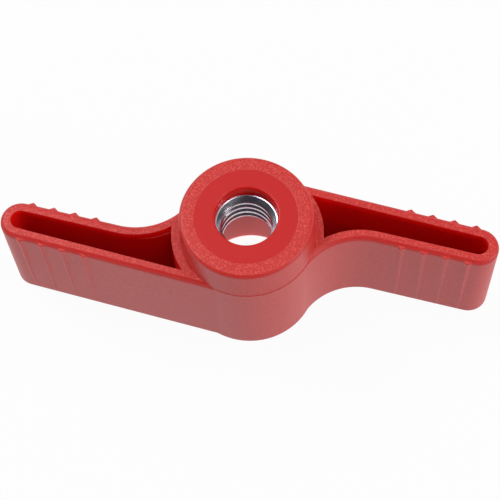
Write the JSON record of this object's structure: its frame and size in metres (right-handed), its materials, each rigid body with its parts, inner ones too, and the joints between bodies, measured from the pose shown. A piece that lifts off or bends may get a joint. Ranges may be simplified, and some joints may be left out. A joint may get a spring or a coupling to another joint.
{
  "type": "wing knob",
  "caption": "S-shaped moulded wing knob with two hollow, ribbed wings and a threaded steel nut in its raised hub.",
  "frame": {"origin": "on the thread axis, at the hub's far end, on which the knob stands", "axes": "+Z along the thread axis towards the clamping face of the boss, +X along the wings"},
  "size_m": [0.066, 0.0186, 0.0211],
  "materials": {
    "moulded_plastic": "satin with a fine spark texture",
    "zinc_plated_steel": "bright zinc plating"
  },
  "bodies": {
    "root": {"wing_body": "moulded_plastic", "hex_nut": "zinc_plated_steel"}
  },
  "joints": []
}
